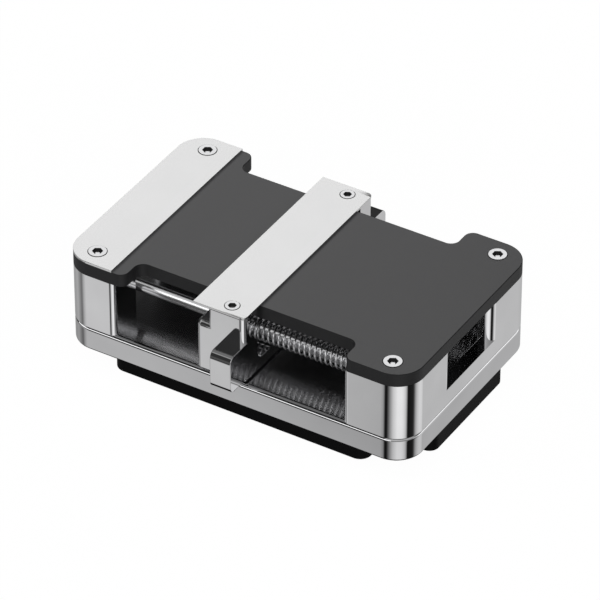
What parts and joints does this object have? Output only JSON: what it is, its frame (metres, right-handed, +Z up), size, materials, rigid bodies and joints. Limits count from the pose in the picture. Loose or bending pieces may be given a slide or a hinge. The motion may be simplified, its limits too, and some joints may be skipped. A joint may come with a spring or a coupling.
{
  "type": "chip repair fixture",
  "caption": "Bench fixture that grips a chip between a fixed thin steel jaw and a sprung sliding jaw on guide rods, over a black plate, standing on a black silicone pad",
  "frame": {"origin": "bottom centre of the whole fixture's bounding box", "axes": "X runs along the fixture, from the fixed jaw to the springs, Y from the front to the back, Z up"},
  "size_m": [0.08, 0.0598, 0.026],
  "materials": {
    "polished_steel": "polished stainless steel, mirror bright on the flats, slightly softer on the tops",
    "black_plate": "fine matt black anodised plate with slightly darker edges",
    "satin_sheet": "thin stainless sheet, satin top with laser cut edges",
    "ground_rod": "ground and hard chromed rod",
    "spring_wire": "bright drawn spring wire",
    "silicone": "matt black silicone",
    "screw_steel": "stainless countersunk screw with a hexagon socket"
  },
  "bodies": {
    "frame": {"base_plate": "polished_steel", "left_end_block": "polished_steel", "right_end_block": "polished_steel", "top_plate": "black_plate", "fixed_jaw_plate": "satin_sheet", "front_guide_rod": "ground_rod", "rear_guide_rod": "ground_rod", "front_spring": "spring_wire", "rear_spring": "spring_wire", "silicone_pad": "silicone", "plate_screw_front_left": "screw_steel", "plate_screw_front_right": "screw_steel", "plate_screw_rear_left": "screw_steel", "plate_screw_rear_right": "screw_steel", "base_screw_front_left": "screw_steel", "base_screw_front_right": "screw_steel", "base_screw_rear_left": "screw_steel", "base_screw_rear_right": "screw_steel"},
    "slider": {"slider_block": "polished_steel", "moving_jaw_plate": "satin_sheet", "jaw_screw_front": "screw_steel", "jaw_screw_rear": "screw_steel"}
  },
  "joints": [
    {"name": "jaw_slide", "type": "slide", "parent": "frame", "child": "slider", "axis": [1, 0, 0], "range_m": [-0.0191, 0.02], "stiffness_N_per_m": 680, "deforming": ["front_spring", "rear_spring"]}
  ]
}
